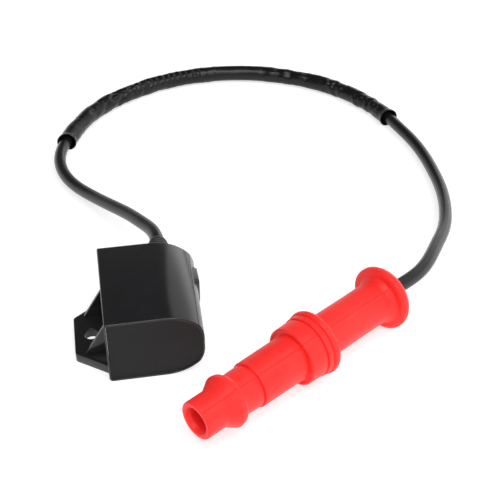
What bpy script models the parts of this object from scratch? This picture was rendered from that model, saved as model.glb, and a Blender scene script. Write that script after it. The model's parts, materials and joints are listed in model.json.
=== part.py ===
"""Small-engine ignition coil: potted coil housing, high-tension lead, loose sleeve and plug boot.

Metres, +Z up. The coil lies on its long side. X runs from the mounting ear to the rounded side,
Y towards the lead outlet. The origin is under the middle of the coil, on the surface it lies on.
"""

import math

import bmesh
import bpy
import numpy
from mathutils import Matrix, Vector

MM = 0.001

# Housing: a D-shaped bucket, open at -Y and closed at +Y. Its rounded side is a shoulder arc from
# the flat top to a mould crease, then a steeper arc down to an upright stretch, the same below
OPEN_END_Y = -34.75 * MM
CLOSED_END_Y = 21.75 * MM
FLAT_SIDE_X = -16.4 * MM
OPEN_END_HEIGHT = 34.1 * MM
CLOSED_END_HEIGHT = 34.8 * MM
OPEN_END_SIDE_X = 28.0 * MM
CLOSED_END_SIDE_X = 30.5 * MM
SHOULDER_START_X = 10.0 * MM
SHOULDER_RADIUS = 23.2 * MM
CREASE_DEPTH = 2.4 * MM
CREASE_DROP = 8.0 * MM
WALL = 1.6 * MM
END_WALL = 2.0 * MM
CORNER_RADIUS = 2.0 * MM
SHOULDER_SEGMENTS = 8
SIDE_SEGMENTS = 4
CORNER_SEGMENTS = 3

# Mounting ear and its two gussets
EAR_TIP_X = -30.9 * MM
EAR_CENTRE_Y = -5.65 * MM
EAR_TIP_HALF = 13.4 * MM
EAR_ROOT_HALF = 24.2 * MM
EAR_THICKNESS = 5.0 * MM
EAR_CORNER_RADIUS = 2.2 * MM
BOLT_HOLE_X = -22.8 * MM
BOLT_HOLE_RADIUS = 3.75 * MM
GUSSET_OFFSET = 13.1 * MM
GUSSET_THICKNESS = 1.6 * MM
GUSSET_FOOT_X = -26.4 * MM
GUSSET_TOP_Z = 20.7 * MM

# Terminal socket on the rounded side
SOCKET_MOUTH_X = 30.6 * MM
SOCKET_BACK_X = 19.0 * MM
SOCKET_BACK_WALL = 1.5 * MM
SOCKET_CENTRE_Y = 7.0 * MM
SOCKET_CENTRE_Z = 17.2 * MM
SOCKET_WIDTH = 11.4 * MM
SOCKET_HEIGHT = 14.0 * MM
SOCKET_WALL = 1.4 * MM
BLADE_WIDTH = 6.3 * MM
BLADE_THICKNESS = 0.8 * MM
BLADE_PITCH = 4.8 * MM
BLADE_TIP_X = 28.8 * MM
BLADE_TAIL_X = 16.0 * MM

# Windings and core, on an axis along Y
COIL_AXIS_X = 0.0
COIL_AXIS_Z = 17.05 * MM
CORE_WIDTH = 8.0 * MM
CORE_COUNT = 10
CORE_START_Y = -31.0 * MM
CORE_END_Y = 14.0 * MM
CORE_GAP = 0.05 * MM
SECTION_COUNT = 6

# Lead outlet
OUTLET_X = 13.9 * MM
OUTLET_Z = 25.0 * MM
GLAND_TIP_Y = 34.75 * MM
GLAND_NECK_RADIUS = 5.6 * MM

# High-tension lead
LEAD_RADIUS = 3.5 * MM
LEAD_STEP = 15.0 * MM
LEAD_INNER_END_Y = 12.0 * MM

# The loop's round stretch, which the loose sleeve covers and slides along
LOOP_CENTRE_X = 72.15 * MM
LOOP_CENTRE_Y = 140.95 * MM
LOOP_RADIUS = 106.7 * MM
LOOP_HEIGHT = 5.25 * MM
SLEEVE_START_DEG = 13.5
SLEEVE_END_DEG = 162.0
SLEEVE_OUTER_RADIUS = 5.15 * MM
SLEEVE_INNER_RADIUS = 4.35 * MM
SLEEVE_SEGMENTS = 26
SLEEVE_SIDES = 14
ROUND_STRETCH_DEG = (171.0, 8.5)
ROUND_STRETCH_POINTS = 14

# Plug boot, lying on the same surface; s runs along its axis from its tip
BOOT_TIP = Vector((17.3 * MM, -80.85 * MM, 16.05 * MM))
BOOT_YAW = math.radians(33.05)
BOOT_LENGTH = 121.5 * MM
BOOT_SEGMENTS = 24
LEAD_END_S = 93.0 * MM

GAP = 0.3 * MM


def clear_scene():
    for obj in list(bpy.data.objects):
        bpy.data.objects.remove(obj, do_unlink=True)


def material(name, colour, roughness, metallic=0.0):
    """One Principled material, made once for each name."""
    made = bpy.data.materials.get(name)
    if made:
        return made
    made = bpy.data.materials.new(name)
    made.use_nodes = True
    shader = made.node_tree.nodes["Principled BSDF"]
    shader.inputs["Base Color"].default_value = (*colour, 1.0)
    shader.inputs["Roughness"].default_value = roughness
    shader.inputs["Metallic"].default_value = metallic
    return made


MATERIALS = {
    "housing_plastic": ((0.022, 0.022, 0.024), 0.42, 0.0),
    "epoxy": ((0.028, 0.028, 0.030), 0.65, 0.0),
    "core_steel": ((0.33, 0.34, 0.35), 0.45, 1.0),
    "bobbin_plastic": ((0.72, 0.68, 0.55), 0.5, 0.0),
    "enamelled_copper": ((0.60, 0.24, 0.10), 0.35, 1.0),
    "copper": ((0.78, 0.40, 0.22), 0.35, 1.0),
    "brass": ((0.72, 0.55, 0.24), 0.3, 1.0),
    "tinned_brass": ((0.66, 0.66, 0.64), 0.3, 1.0),
    "spring_steel": ((0.55, 0.55, 0.56), 0.3, 1.0),
    "lead_rubber": ((0.012, 0.012, 0.013), 0.42, 0.0),
    "gland_rubber": ((0.020, 0.020, 0.021), 0.5, 0.0),
    "sleeve_vinyl": ((0.008, 0.008, 0.009), 0.28, 0.0),
    "boot_silicone": ((0.90, 0.035, 0.03), 0.45, 0.0),
    "phenolic": ((0.05, 0.035, 0.03), 0.5, 0.0),
    "ceramic": ((0.80, 0.77, 0.70), 0.4, 0.0),
}


def finish(obj, material_name, angle=40.0):
    """Gives an object its material and smooth shading up to an edge angle."""
    colour, roughness, metallic = MATERIALS[material_name]
    obj.data.materials.append(material(material_name, colour, roughness, metallic))
    if obj.type == "MESH":
        obj.data.shade_smooth()
        obj.data.set_sharp_from_angle(angle=math.radians(angle))
    return obj


def mesh_object(name, bm, material_name=None):
    bmesh.ops.remove_doubles(bm, verts=bm.verts, dist=1e-6)
    bmesh.ops.recalc_face_normals(bm, faces=bm.faces)
    mesh = bpy.data.meshes.new(name)
    bm.to_mesh(mesh)
    bm.free()
    obj = bpy.data.objects.new(name, mesh)
    bpy.context.scene.collection.objects.link(obj)
    if material_name:
        finish(obj, material_name)
    return obj


def axis_empty(name, location, rotation=(0.0, 0.0, 0.0)):
    """An empty whose own Z is the axis of what is parented to it."""
    empty = bpy.data.objects.new(name, None)
    empty.location = location
    empty.rotation_euler = rotation
    empty.empty_display_size = 0.01
    bpy.context.scene.collection.objects.link(empty)
    return empty


def box_mesh(low, high):
    bm = bmesh.new()
    size = [b - a for a, b in zip(low, high)]
    middle = [(a + b) / 2 for a, b in zip(low, high)]
    bmesh.ops.create_cube(bm, size=1.0, matrix=Matrix.Translation(middle) @ Matrix.Diagonal((*size, 1.0)))
    return bm


def box(name, low, high, material_name=None):
    return mesh_object(name, box_mesh(low, high), material_name)


def prism(name, outline, low, high, axis, material_name=None):
    """Extrudes an outline of 2-D points from low to high along axis 'Y' or 'Z'."""
    place = {"Y": lambda p, t: (p[0], t, p[1]), "Z": lambda p, t: (p[0], p[1], t)}[axis]
    bm = bmesh.new()
    face = bm.faces.new([bm.verts.new(place(p, low)) for p in outline])
    moved = bmesh.ops.extrude_face_region(bm, geom=[face])["geom"]
    shift = Vector(place((0.0, 0.0), high - low))
    bmesh.ops.translate(bm, verts=[v for v in moved if isinstance(v, bmesh.types.BMVert)], vec=shift)
    return mesh_object(name, bm, material_name)


def turned(name, profile, segments, material_name=None, parent=None, closed=True):
    """Turns a profile of (radius, height) points about the local Z axis."""
    bm = bmesh.new()
    points = [bm.verts.new((radius, 0.0, height)) for radius, height in profile]
    pairs = list(zip(points, points[1:]))
    if closed:
        pairs.append((points[-1], points[0]))
    edges = [bm.edges.new(pair) for pair in pairs]
    bmesh.ops.spin(
        bm,
        geom=points + edges,
        axis=(0.0, 0.0, 1.0),
        cent=(0.0, 0.0, 0.0),
        steps=segments,
        angle=2 * math.pi,
        use_merge=False,
    )
    obj = mesh_object(name, bm, material_name)
    if parent:
        obj.parent = parent
    return obj


def tube_profile(inner, outer, low, high):
    return [(inner, low), (outer, low), (outer, high), (inner, high)]


def rod_profile(radius, low, high):
    return [(0.0, low), (radius, low), (radius, high), (0.0, high)]


def cut(obj, *cutters):
    boolean(obj, "DIFFERENCE", cutters)


def join(obj, *others):
    boolean(obj, "UNION", others)


def boolean(obj, operation, others):
    for other in others:
        other.hide_render = True
        other.display_type = "WIRE"
        modifier = obj.modifiers.new(f"{operation.lower()}_{other.name}", "BOOLEAN")
        modifier.operation = operation
        modifier.object = other
        modifier.solver = "EXACT"


def spline_slopes(knots, places):
    """Second derivatives at each knot of the natural cubic spline through the places."""
    count = len(knots)
    gaps = numpy.diff(knots)
    rises = numpy.diff(places, axis=0) / gaps[:, None]
    system = numpy.eye(count)
    wanted = numpy.zeros((count, 3))
    for i in range(1, count - 1):
        system[i, i - 1] = gaps[i - 1]
        system[i, i] = 2 * (gaps[i - 1] + gaps[i])
        system[i, i + 1] = gaps[i]
        wanted[i] = 6 * (rises[i] - rises[i - 1])
    return numpy.linalg.solve(system, wanted)


def smooth_line(points, step):
    """Points about a step apart on the natural cubic spline through the given points."""
    places = numpy.array([tuple(p) for p in points])
    knots = numpy.concatenate([[0.0], numpy.cumsum(numpy.linalg.norm(numpy.diff(places, axis=0), axis=1))])
    bends = spline_slopes(knots, places)
    count = max(1, round(knots[-1] / step))
    line = []
    for at in numpy.linspace(0.0, knots[-1], count + 1):
        i = min(int(numpy.searchsorted(knots, at, side="right")) - 1, len(knots) - 2)
        gap = knots[i + 1] - knots[i]
        before = (knots[i + 1] - at) / gap
        after = (at - knots[i]) / gap
        bulge = ((before**3 - before) * bends[i] + (after**3 - after) * bends[i + 1]) * gap**2 / 6
        line.append(Vector(before * places[i] + after * places[i + 1] + bulge))
    return line


def wire(name, line, radius, material_name, sides_level=1):
    """A round wire or lead along a line of points, with closed ends."""
    curve = bpy.data.curves.new(name, "CURVE")
    curve.dimensions = "3D"
    curve.bevel_depth = radius
    curve.bevel_resolution = sides_level
    curve.use_fill_caps = True
    spline = curve.splines.new("POLY")
    spline.points.add(len(line) - 1)
    for point, place in zip(spline.points, line):
        point.co = (*place, 1.0)
    obj = bpy.data.objects.new(name, curve)
    bpy.context.scene.collection.objects.link(obj)
    return finish(obj, material_name)


def arc(centre, radius, start_deg, end_deg, segments):
    """Points of an arc in a plane, both ends included."""
    points = []
    for i in range(segments + 1):
        angle = math.radians(start_deg + (end_deg - start_deg) * i / segments)
        points.append((centre[0] + radius * math.cos(angle), centre[1] + radius * math.sin(angle)))
    return points


# Housing


def between_ends(y, at_open_end, at_closed_end):
    """The housing is drafted: it grows a little towards its closed end."""
    along = (y - OPEN_END_Y) / (CLOSED_END_Y - OPEN_END_Y)
    return at_open_end + (at_closed_end - at_open_end) * along


def angle_from(centre, point):
    return math.degrees(math.atan2(point[1] - centre[1], point[0] - centre[0]))


def upper_side(height, side_x, inset):
    """The rounded side's upper half, from the end of the flat top down to its upright stretch."""
    shoulder_centre = Vector((SHOULDER_START_X, height - SHOULDER_RADIUS))
    across = side_x - CREASE_DEPTH - SHOULDER_START_X
    crease = shoulder_centre + Vector((across, math.sqrt(SHOULDER_RADIUS**2 - across**2)))
    side_radius = (CREASE_DROP**2 + CREASE_DEPTH**2) / (2 * CREASE_DEPTH)
    side_centre = Vector((side_x - side_radius, crease.y - CREASE_DROP))
    shoulder_normal = (crease - shoulder_centre).normalized()
    side_normal = (crease - side_centre).normalized()
    crease -= (shoulder_normal + side_normal) * inset / (1 + shoulder_normal.dot(side_normal))
    shoulder_end = angle_from(shoulder_centre, crease)
    shoulder = arc(shoulder_centre, SHOULDER_RADIUS - inset, 90.0, shoulder_end, SHOULDER_SEGMENTS)
    side = arc(side_centre, side_radius - inset, angle_from(side_centre, crease), 0.0, SIDE_SEGMENTS)
    return shoulder[:-1] + [tuple(crease)] + side[1:]


def d_outline(y, inset):
    """The D section in X and Z, from its rounded bottom corner round to its top corner."""
    height = between_ends(y, OPEN_END_HEIGHT, CLOSED_END_HEIGHT)
    side_x = between_ends(y, OPEN_END_SIDE_X, CLOSED_END_SIDE_X)
    flat = FLAT_SIDE_X + inset
    top = height - inset
    corner = max(CORNER_RADIUS - inset, 0.4 * MM)
    low_corner = arc((flat + corner, inset + corner), corner, 180.0, 270.0, CORNER_SEGMENTS)
    upper = upper_side(height, side_x, inset)
    lower = [(x, height - z) for x, z in upper]
    high_corner = arc((flat + corner / 2, top - corner / 2), corner / 2, 90.0, 180.0, CORNER_SEGMENTS)
    return low_corner + lower + upper[::-1] + high_corner


def lofted(name, sections, material_name=None):
    """A solid through rings of (y, inset), closed at the first and the last."""
    bm = bmesh.new()
    rings = []
    for y, inset in sections:
        outline = d_outline(y, inset)
        rings.append([bm.verts.new((x, y, z)) for x, z in outline])
    for ring, following in zip(rings, rings[1:]):
        for i in range(len(ring)):
            j = (i + 1) % len(ring)
            bm.faces.new((ring[i], ring[j], following[j], following[i]))
    bm.faces.new(rings[0])
    bm.faces.new(rings[-1])
    return mesh_object(name, bm, material_name)


def rounded_trapezoid():
    """The ear's outline in X and Y, its root buried in the flat side's wall."""
    root_x = FLAT_SIDE_X + WALL / 2
    tip = []
    radius = EAR_CORNER_RADIUS
    for side in (-1.0, 1.0):
        centre = (EAR_TIP_X + radius, EAR_CENTRE_Y + side * (EAR_TIP_HALF - radius * 0.8))
        turn = (180.0, 180.0 + side * -55.0)
        points = arc(centre, radius, turn[1], turn[0], CORNER_SEGMENTS)
        tip.extend(points if side < 0 else reversed(points))
    return [(root_x, EAR_CENTRE_Y - EAR_ROOT_HALF), *tip, (root_x, EAR_CENTRE_Y + EAR_ROOT_HALF)]


def socket_box(name, grow, low_x, high_x):
    half_y = SOCKET_WIDTH / 2 + grow
    half_z = SOCKET_HEIGHT / 2 + grow
    low = (low_x, SOCKET_CENTRE_Y - half_y, SOCKET_CENTRE_Z - half_z)
    high = (high_x, SOCKET_CENTRE_Y + half_y, SOCKET_CENTRE_Z + half_z)
    return box(name, low, high)


def blade_places():
    return [SOCKET_CENTRE_Y + side * BLADE_PITCH / 2 for side in (-1, 1)]


def make_housing():
    housing = lofted(
        "housing",
        [
            (CLOSED_END_Y - END_WALL, WALL),
            (OPEN_END_Y, WALL),
            (OPEN_END_Y, 0.0),
            (CLOSED_END_Y, 0.0),
        ],
    )
    ear = prism("ear", rounded_trapezoid(), 0.0, EAR_THICKNESS, "Z")
    join(housing, ear)
    for number, side in enumerate((-1, 1), 1):
        middle = EAR_CENTRE_Y + side * GUSSET_OFFSET
        root_x = FLAT_SIDE_X + WALL / 2
        low_z = EAR_THICKNESS - 0.4 * MM
        outline = [(root_x, low_z), (root_x, GUSSET_TOP_Z), (FLAT_SIDE_X, GUSSET_TOP_Z), (GUSSET_FOOT_X, low_z)]
        half = GUSSET_THICKNESS / 2
        join(housing, prism(f"gusset_{number}", outline, middle - half, middle + half, "Y"))
    join(housing, socket_box("socket_block", 0.0, SOCKET_BACK_X, SOCKET_MOUTH_X))
    cut(housing, socket_box("socket_cavity", -SOCKET_WALL, SOCKET_BACK_X + SOCKET_BACK_WALL, 0.04))
    for number, y in enumerate(blade_places(), 1):
        half_y = BLADE_THICKNESS / 2 + GAP
        half_z = BLADE_WIDTH / 2 + GAP
        low = (SOCKET_BACK_X - MM, y - half_y, SOCKET_CENTRE_Z - half_z)
        high = (SOCKET_BACK_X + 2 * SOCKET_BACK_WALL, y + half_y, SOCKET_CENTRE_Z + half_z)
        cut(housing, box(f"blade_slot_{number}", low, high))
    hole = turned("bolt_hole", rod_profile(BOLT_HOLE_RADIUS, -MM, EAR_THICKNESS + MM), 24, closed=False)
    hole.location = (BOLT_HOLE_X, EAR_CENTRE_Y, 0.0)
    cut(housing, hole)
    outlet = turned("outlet_hole", rod_profile(GLAND_NECK_RADIUS, -5 * MM, 5 * MM), 24, closed=False)
    outlet.location = (OUTLET_X, CLOSED_END_Y, OUTLET_Z)
    outlet.rotation_euler = (-math.pi / 2, 0.0, 0.0)
    cut(housing, outlet)
    return finish(housing, "housing_plastic")


def make_resin():
    """The potting fill, with pockets for what it holds; each pocket opens at the resin's own surface."""
    inner_end = CLOSED_END_Y - END_WALL - GAP
    resin = lofted("potting_resin", [(OPEN_END_Y + 0.7 * MM, WALL + GAP), (inner_end, WALL + GAP)])
    winding_pocket = turned("winding_pocket", rod_profile(12.5 * MM, CORE_START_Y - 0.5 * MM, 0.03), 32, closed=False)
    winding_pocket.location = (COIL_AXIS_X, 0.0, COIL_AXIS_Z)
    winding_pocket.rotation_euler = (-math.pi / 2, 0.0, 0.0)
    cut(resin, winding_pocket)
    cut(resin, socket_box("socket_pocket", GAP, 10.0 * MM, 0.04))
    lead_pocket = turned("lead_pocket", rod_profile(6.7 * MM, -3.0 * MM, 0.03), 24, closed=False)
    lead_pocket.location = (OUTLET_X, 0.0, OUTLET_Z)
    lead_pocket.rotation_euler = (-math.pi / 2, 0.0, 0.0)
    cut(resin, lead_pocket)
    channel_low = (8.0 * MM, CORE_START_Y + MM, 13.0 * MM)
    channel_high = (19.0 * MM, 2.0 * MM, 21.0 * MM)
    cut(resin, box("link_channel", channel_low, channel_high))
    return finish(resin, "epoxy")


# Core and windings


def make_core():
    pitch = CORE_WIDTH / CORE_COUNT
    for number in range(CORE_COUNT):
        low_z = COIL_AXIS_Z - CORE_WIDTH / 2 + number * pitch
        low = (COIL_AXIS_X - CORE_WIDTH / 2, CORE_START_Y, low_z)
        high = (COIL_AXIS_X + CORE_WIDTH / 2, CORE_END_Y, low_z + pitch - CORE_GAP)
        box(f"core_lamination_{number + 1:02d}", low, high, "core_steel")


def bobbin_profile(bore, tube, flange, edges, thickness):
    """A bobbin's half section: a tube with a flange at each edge position."""
    outline = [(bore, edges[0])]
    for index, edge in enumerate(edges):
        if index:
            outline.append((tube, edge))
        outline.append((flange, edge))
        outline.append((flange, edge + thickness))
        if index < len(edges) - 1:
            outline.append((tube, edge + thickness))
    outline.append((bore, edges[-1] + thickness))
    return outline


def make_windings(axis):
    flange = 1.2 * MM
    primary_ends = [-29.0 * MM, 11.0 * MM]
    primary = bobbin_profile(5.9 * MM, 6.6 * MM, 8.2 * MM, primary_ends, flange)
    turned("primary_bobbin", primary, 24, "bobbin_plastic", axis)
    winding = tube_profile(6.9 * MM, 7.9 * MM, primary_ends[0] + flange + GAP, primary_ends[1] - GAP)
    turned("primary_winding", winding, 24, "enamelled_copper", axis)
    first = -26.0 * MM
    pitch = 5.6 * MM
    edges = [first + pitch * i for i in range(SECTION_COUNT + 1)]
    secondary = bobbin_profile(8.6 * MM, 9.3 * MM, 12.0 * MM, edges, flange)
    turned("secondary_bobbin", secondary, 24, "bobbin_plastic", axis)
    for number in range(SECTION_COUNT):
        low = edges[number] + flange + GAP
        high = edges[number + 1] - GAP
        section = tube_profile(9.6 * MM, 11.3 * MM, low, high)
        turned(f"secondary_winding_{number + 1}", section, 24, "enamelled_copper", axis)


def make_terminals():
    """Two blades through the socket's back wall, and the wires from them to the primary."""
    for name, y in zip(("ground_terminal", "primary_terminal"), blade_places()):
        low = (BLADE_TAIL_X, y - BLADE_THICKNESS / 2, SOCKET_CENTRE_Z - BLADE_WIDTH / 2)
        high = (BLADE_TIP_X, y + BLADE_THICKNESS / 2, SOCKET_CENTRE_Z + BLADE_WIDTH / 2)
        box(name, low, high, "tinned_brass")
    for name, y, z in zip(("ground_link", "primary_link"), blade_places(), (15.6 * MM, 18.6 * MM)):
        route = [
            Vector((BLADE_TAIL_X - GAP, y, z)),
            Vector((14.2 * MM, y - 2.0 * MM, z)),
            Vector((13.6 * MM, -8.0 * MM, z)),
            Vector((13.4 * MM, -24.0 * MM, z)),
            Vector((11.0 * MM, -28.2 * MM, z)),
            Vector((8.7 * MM, -28.4 * MM, z)),
        ]
        wire(name, smooth_line(route, 3.0 * MM), 0.45 * MM, "enamelled_copper")


# Lead outlet


def make_outlet(axis):
    """The ribbed rubber gland, the lead's bared end in its ferrule and the link to the secondary."""
    bore = LEAD_RADIUS + GAP
    wall_in = CLOSED_END_Y - END_WALL
    neck = GLAND_NECK_RADIUS - GAP
    outline = [
        (bore, wall_in - 2.2 * MM),
        (6.4 * MM, wall_in - 2.2 * MM),
        (6.4 * MM, wall_in - GAP),
        (neck, wall_in - GAP),
        (neck, CLOSED_END_Y + GAP),
        (6.1 * MM, CLOSED_END_Y + GAP),
        (6.1 * MM, CLOSED_END_Y + 2.0 * MM),
    ]
    rib_pitch = 2.2 * MM
    for rib in range(4):
        low = CLOSED_END_Y + 2.4 * MM + rib * rib_pitch
        crest = (5.7 - 0.25 * rib) * MM
        outline.append((crest - 0.5 * MM, low))
        outline.append((crest, low + 0.5 * MM))
        outline.append((crest, low + 1.4 * MM))
        outline.append((crest - 0.5 * MM, low + 1.9 * MM))
    outline.append((4.7 * MM, GLAND_TIP_Y - 0.8 * MM))
    outline.append((4.5 * MM, GLAND_TIP_Y))
    outline.append((bore + 0.4 * MM, GLAND_TIP_Y))
    outline.append((bore, GLAND_TIP_Y - 4.0 * MM))
    turned("lead_gland", outline, 24, "gland_rubber", axis)
    stub_end = LEAD_INNER_END_Y - GAP
    stub = rod_profile(1.2 * MM, stub_end - 5.5 * MM, stub_end)
    turned("lead_core_coil_end", stub, 12, "copper", axis, closed=False)
    ferrule_low = 3.0 * MM
    ferrule = [
        (0.0, ferrule_low),
        (2.2 * MM, ferrule_low),
        (2.2 * MM, stub_end - 0.4 * MM),
        (1.5 * MM, stub_end - 0.4 * MM),
        (1.5 * MM, ferrule_low + 2.2 * MM),
        (0.0, ferrule_low + 2.2 * MM),
    ]
    turned("hv_ferrule", ferrule, 16, "brass", axis, closed=False)
    route = [
        Vector((OUTLET_X, ferrule_low - GAP, OUTLET_Z)),
        Vector((OUTLET_X, 1.6 * MM, OUTLET_Z)),
        Vector((12.6 * MM, 0.2 * MM, 24.6 * MM)),
        Vector((11.4 * MM, -0.9 * MM, 23.6 * MM)),
        Vector((10.4 * MM, -1.0 * MM, 23.0 * MM)),
    ]
    wire("hv_link", smooth_line(route, 1.5 * MM), 0.4 * MM, "copper")


# Lead and sleeve


def lead_route():
    """Where the lead runs: out of the gland, down to the surface, round the loop and up into the boot."""
    coil_side = [
        (0.0139, 0.0120, 0.0250),
        (0.0139, 0.0240, 0.0250),
        (0.0139, 0.0360, 0.0250),
        (0.0123, 0.0470, 0.0237),
        (0.0087, 0.0565, 0.0217),
        (0.0016, 0.0725, 0.0178),
        (-0.0070, 0.0888, 0.0134),
        (-0.0164, 0.1063, 0.0089),
        (-0.0261, 0.1243, 0.0060),
        (-0.0315, 0.1385, 0.0053),
    ]
    boot_side = [
        (0.1812, 0.1404, 0.0051),
        (0.1833, 0.1212, 0.0047),
        (0.1831, 0.1028, 0.0047),
        (0.1811, 0.0832, 0.0055),
        (0.1761, 0.0623, 0.0072),
        (0.1677, 0.0409, 0.0098),
        (0.1566, 0.0222, 0.0131),
    ]
    round_stretch = arc((LOOP_CENTRE_X, LOOP_CENTRE_Y), LOOP_RADIUS, *ROUND_STRETCH_DEG, ROUND_STRETCH_POINTS)
    points = [Vector(p) for p in coil_side]
    points += [Vector((x, y, LOOP_HEIGHT)) for x, y in round_stretch]
    points += [Vector(p) for p in boot_side]
    along = Vector((math.cos(BOOT_YAW), math.sin(BOOT_YAW), 0.0))
    for s in (BOOT_LENGTH + 22.0 * MM, BOOT_LENGTH + 8.0 * MM, BOOT_LENGTH - 6.0 * MM, LEAD_END_S):
        points.append(BOOT_TIP + along * s)
    return points


def make_lead():
    line = smooth_line(lead_route(), LEAD_STEP)
    wire("ignition_lead", line, LEAD_RADIUS, "lead_rubber", sides_level=4)


def make_sleeve():
    """The loose sleeve, a hollow tube along the round stretch, about the loop's upright axis."""
    pivot = axis_empty("sleeve_axis", (LOOP_CENTRE_X, LOOP_CENTRE_Y, LOOP_HEIGHT))
    section = arc((0.0, 0.0), SLEEVE_OUTER_RADIUS, -90.0, 270.0, SLEEVE_SIDES)[:-1]
    section += reversed(arc((0.0, 0.0), SLEEVE_INNER_RADIUS, -90.0, 270.0, SLEEVE_SIDES)[:-1])
    bm = bmesh.new()
    stations = []
    for i in range(SLEEVE_SEGMENTS + 1):
        angle = math.radians(SLEEVE_START_DEG + (SLEEVE_END_DEG - SLEEVE_START_DEG) * i / SLEEVE_SEGMENTS)
        turn = Matrix.Rotation(angle, 3, "Z")
        stations.append([bm.verts.new(turn @ Vector((LOOP_RADIUS + out, 0.0, up))) for out, up in section])
    walls = [range(SLEEVE_SIDES), range(SLEEVE_SIDES, 2 * SLEEVE_SIDES)]
    for one, following in zip(stations, stations[1:]):
        for wall in walls:
            for i in wall:
                j = i + 1 if i + 1 in wall else wall[0]
                bm.faces.new((one[i], one[j], following[j], following[i]))
    for station in (stations[0], stations[-1]):
        for i in range(SLEEVE_SIDES):
            j = (i + 1) % SLEEVE_SIDES
            opposite_i = 2 * SLEEVE_SIDES - 1 - i
            opposite_j = 2 * SLEEVE_SIDES - 1 - j
            bm.faces.new((station[i], station[j], station[opposite_j], station[opposite_i]))
    sleeve = mesh_object("lead_sleeve", bm, "sleeve_vinyl")
    sleeve.parent = pivot


# Plug boot and the resistor cap inside it


def boot_outline():
    """The boot's outer side from its tip to its rear rim, as (radius, s) in millimetres."""
    return [
        (6.2, 0.0),
        (8.6, 0.0),
        (9.05, 0.6),
        (9.05, 9.6),
        (9.8, 12.0),
        (11.5, 15.0),
        (12.2, 16.6),
        (12.3, 17.8),
        (11.6, 19.0),
        (10.3, 20.7),
        (9.9, 23.0),
        (10.1, 30.6),
        (10.9, 31.2),
        (11.2, 56.1),
        (13.4, 55.7),
        (14.1, 56.6),
        (14.4, 65.6),
        (14.8, 66.2),
        (14.9, 69.0),
        (15.4, 69.8),
        (15.75, 71.3),
        (15.2, 73.0),
        (12.5, 73.9),
        (10.4, 75.2),
        (10.3, 98.0),
        (10.5, 110.6),
        (11.5, 113.6),
        (13.7, 114.8),
        (15.2, 114.4),
        (16.0, 115.7),
        (16.0, 118.5),
        (15.1, 120.7),
        (13.2, 121.5),
    ]


def boot_bore():
    """The boot's inside from its rear mouth back to its tip, as (radius, s) in millimetres."""
    return [
        (9.2, 121.1),
        (5.2, 118.6),
        (3.85, 116.6),
        (3.85, 99.3),
        (7.8, 99.3),
        (7.8, 60.6),
        (8.6, 60.3),
        (8.6, 54.7),
        (7.8, 54.4),
        (7.8, 24.4),
        (5.8, 24.0),
        (5.7, 0.6),
    ]


def make_boot(axis):
    outline = [(radius * MM, s * MM) for radius, s in boot_outline() + boot_bore()]
    turned("plug_boot", outline, BOOT_SEGMENTS, "boot_silicone", axis)


def in_millimetres(points):
    return [(radius * MM, s * MM) for radius, s in points]


def make_cap(axis):
    """What the boot covers: the insulating core, plug terminal, resistor, spring and ferrule."""
    core = in_millimetres(
        [
            (5.3, 24.9),
            (7.5, 24.9),
            (7.5, 54.9),
            (8.3, 55.2),
            (8.3, 59.8),
            (7.5, 60.1),
            (7.5, 98.9),
            (3.85, 98.9),
            (3.85, 41.0),
            (5.3, 41.0),
        ]
    )
    turned("cap_core", core, 24, "phenolic", axis)
    terminal = in_millimetres(
        [
            (0.0, 41.3),
            (3.2, 41.3),
            (3.2, 40.2),
            (4.8, 40.2),
            (4.8, 28.0),
            (3.9, 28.0),
            (3.9, 38.9),
            (0.0, 38.9),
        ]
    )
    turned("plug_terminal", terminal, 20, "tinned_brass", axis, closed=False)
    ring_middle = 26.9 * MM
    ring = [
        (4.55 * MM + radius, ring_middle + height)
        for radius, height in arc((0.0, 0.0), 0.45 * MM, 0.0, 360.0, 8)[:-1]
    ]
    turned("terminal_snap_ring", ring, 20, "spring_steel", axis)
    for name, low in (("resistor_cap_front", 41.7), ("resistor_cap_rear", 67.2)):
        turned(name, rod_profile(3.4 * MM, low * MM, (low + 3.5) * MM), 16, "tinned_brass", axis, closed=False)
    turned("resistor_body", rod_profile(3.1 * MM, 45.5 * MM, 66.9 * MM), 16, "ceramic", axis, closed=False)
    make_contact_spring(axis)
    ferrule = in_millimetres(
        [
            (0.0, 80.0),
            (3.3, 80.0),
            (3.3, 82.0),
            (2.2, 82.0),
            (2.2, 91.8),
            (1.5, 91.8),
            (1.5, 84.0),
            (0.0, 84.0),
        ]
    )
    turned("lead_ferrule", ferrule, 16, "brass", axis, closed=False)
    stub = rod_profile(1.2 * MM, 85.0 * MM, LEAD_END_S - GAP)
    turned("lead_core_plug_end", stub, 12, "copper", axis, closed=False)


def make_contact_spring(axis):
    turns = 5
    steps = 10
    low, high = 71.4 * MM, 79.3 * MM
    line = []
    for i in range(turns * steps + 1):
        angle = 2 * math.pi * i / steps
        height = low + (high - low) * i / (turns * steps)
        line.append(Vector((2.6 * MM * math.cos(angle), 2.6 * MM * math.sin(angle), height)))
    spring = wire("contact_spring", line, 0.35 * MM, "spring_steel", sides_level=1)
    spring.parent = axis


def main():
    clear_scene()
    make_housing()
    make_resin()
    make_core()
    winding_axis = axis_empty("winding_axis", (COIL_AXIS_X, 0.0, COIL_AXIS_Z), (-math.pi / 2, 0.0, 0.0))
    make_windings(winding_axis)
    make_terminals()
    outlet_axis = axis_empty("outlet_axis", (OUTLET_X, 0.0, OUTLET_Z), (-math.pi / 2, 0.0, 0.0))
    make_outlet(outlet_axis)
    make_lead()
    make_sleeve()
    boot_axis = axis_empty("boot_axis", BOOT_TIP, (0.0, math.pi / 2, BOOT_YAW))
    make_boot(boot_axis)
    make_cap(boot_axis)


main()
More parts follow.
